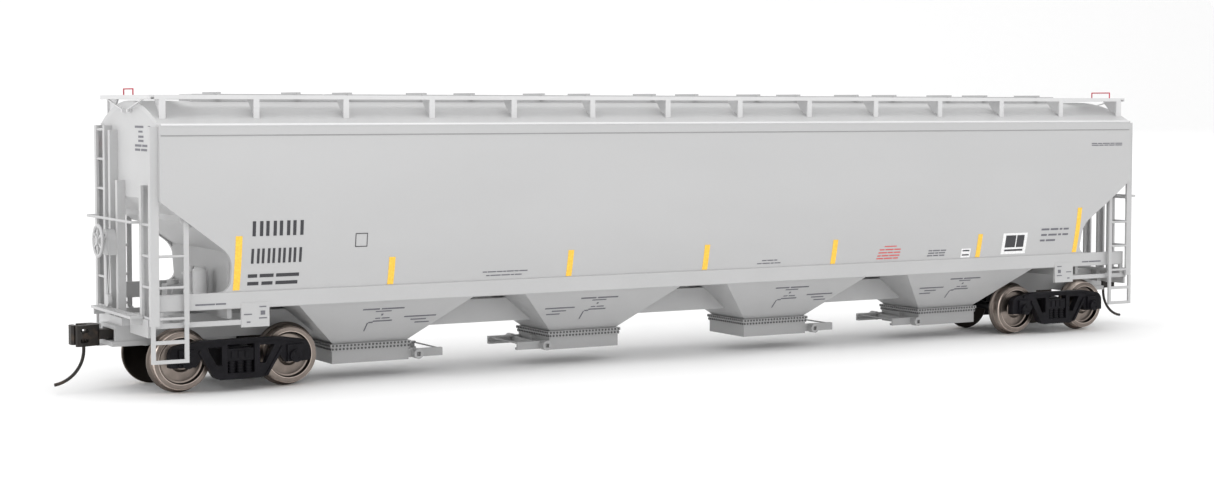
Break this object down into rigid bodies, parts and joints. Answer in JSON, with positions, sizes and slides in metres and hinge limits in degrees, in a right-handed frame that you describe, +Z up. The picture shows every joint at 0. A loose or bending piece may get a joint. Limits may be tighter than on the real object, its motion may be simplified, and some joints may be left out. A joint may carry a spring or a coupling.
{
  "type": "model hopper car",
  "caption": "HO scale covered hopper railway car with curved sides, sloped end sheets, pyramid hopper bays with outlet gates, roof walkways, swivelling trucks and sprung knuckle couplers.",
  "frame": {"origin": "below the middle of the car, on the surface that the wheel flanges stand on", "axes": "+X along the car towards its plain end (A), -X towards the brake end (B); +Y to the left side; +Z up"},
  "size_m": [0.2552, 0.0362, 0.055],
  "materials": {
    "body_grey": "satin light grey paint on moulded plastic and etched metal",
    "truck_black": "black moulded acetal, slight sheen",
    "axle_black": "blackened axle",
    "wheel_nickel": "turned nickel-plated brass, darkened",
    "coupler_black": "blackened cast zinc alloy",
    "spring_bronze": "bright phosphor bronze wire",
    "screw_steel": "plain zinc-plated steel",
    "grab_red": "red painted wire"
  },
  "bodies": {
    "car_body": {"roof_panel": "body_grey", "side_panel_left": "body_grey", "side_panel_right": "body_grey", "end_bulkhead_b": "body_grey", "end_bulkhead_a": "body_grey", "hatch_trough": "body_grey", "hatch_covers": "body_grey", "hatch_latches": "body_grey", "running_board_left": "body_grey", "running_board_right": "body_grey", "crossover_platform_b": "body_grey", "crossover_platform_a": "body_grey", "roof_grab_irons": "grab_red", "centre_sill": "body_grey", "side_sill_left": "body_grey", "side_sill_right": "body_grey", "body_bolster_b": "body_grey", "body_bolster_a": "body_grey", "hopper_bay_1": "body_grey", "hopper_bay_2": "body_grey", "hopper_bay_3": "body_grey", "hopper_bay_4": "body_grey", "outlet_gate_1": "body_grey", "outlet_gate_2": "body_grey", "outlet_gate_3": "body_grey", "outlet_gate_4": "body_grey", "coupler_box_b": "body_grey", "coupler_box_a": "body_grey", "fixing_screws": "screw_steel", "steel_weight": "screw_steel", "end_cage_b": "body_grey", "end_cage_a": "body_grey", "side_ladders": "body_grey", "stirrup_steps": "body_grey", "brake_platform": "body_grey", "brake_wheel": "body_grey", "brake_gear_box": "body_grey", "brake_rigging": "body_grey", "air_reservoir": "body_grey", "brake_cylinder": "body_grey", "control_valve": "body_grey"},
    "truck_b": {"truck_bolster_b": "truck_black", "side_frames_b": "truck_black"},
    "truck_a": {"truck_bolster_a": "truck_black", "side_frames_a": "truck_black"},
    "wheelset_1": {"axle_1": "axle_black", "wheels_1": "wheel_nickel"},
    "wheelset_2": {"axle_2": "axle_black", "wheels_2": "wheel_nickel"},
    "wheelset_3": {"axle_3": "axle_black", "wheels_3": "wheel_nickel"},
    "wheelset_4": {"axle_4": "axle_black", "wheels_4": "wheel_nickel"},
    "coupler_b": {"coupler_b": "coupler_black", "knuckle_spring_b": "spring_bronze"},
    "coupler_a": {"coupler_a": "coupler_black", "knuckle_spring_a": "spring_bronze"},
    "knuckle_b": {"knuckle_b": "coupler_black"},
    "knuckle_a": {"knuckle_a": "coupler_black"}
  },
  "joints": [
    {"name": "truck_b_swivel", "type": "hinge", "parent": "car_body", "child": "truck_b", "pos_m": [-0.09725, 0, 0.00844], "axis": [0, 0, 1], "range_deg": [-8, 8]},
    {"name": "truck_a_swivel", "type": "hinge", "parent": "car_body", "child": "truck_a", "pos_m": [0.09725, 0, 0.00844], "axis": [0, 0, 1], "range_deg": [-8, 8]},
    {"name": "wheelset_1_roll", "type": "hinge", "parent": "truck_b", "child": "wheelset_1", "pos_m": [-0.10745, 0, 0.00589], "axis": [0, 1, 0], "continuous": true},
    {"name": "wheelset_2_roll", "type": "hinge", "parent": "truck_b", "child": "wheelset_2", "pos_m": [-0.08705, 0, 0.00589], "axis": [0, 1, 0], "continuous": true},
    {"name": "wheelset_3_roll", "type": "hinge", "parent": "truck_a", "child": "wheelset_3", "pos_m": [0.08705, 0, 0.00589], "axis": [0, 1, 0], "continuous": true},
    {"name": "wheelset_4_roll", "type": "hinge", "parent": "truck_a", "child": "wheelset_4", "pos_m": [0.10745, 0, 0.00589], "axis": [0, 1, 0], "continuous": true},
    {"name": "coupler_b_swing", "type": "hinge", "parent": "car_body", "child": "coupler_b", "pos_m": [-0.1107, 0, 0.01054], "axis": [0, 0, 1], "range_deg": [-12, 12], "stiffness_Nm_per_rad": 0.002},
    {"name": "coupler_a_swing", "type": "hinge", "parent": "car_body", "child": "coupler_a", "pos_m": [0.1107, 0, 0.01054], "axis": [0, 0, 1], "range_deg": [-12, 12], "stiffness_Nm_per_rad": 0.002},
    {"name": "knuckle_b_pivot", "type": "hinge", "parent": "coupler_b", "child": "knuckle_b", "pos_m": [-0.1226, 0.00155, 0.01054], "axis": [0, 0, 1], "range_deg": [-18, 0], "stiffness_Nm_per_rad": 0.0005, "springref_deg": 5.73},
    {"name": "knuckle_a_pivot", "type": "hinge", "parent": "coupler_a", "child": "knuckle_a", "pos_m": [0.1226, -0.00155, 0.01054], "axis": [0, 0, 1], "range_deg": [-18, 0], "stiffness_Nm_per_rad": 0.0005, "springref_deg": 5.73}
  ]
}
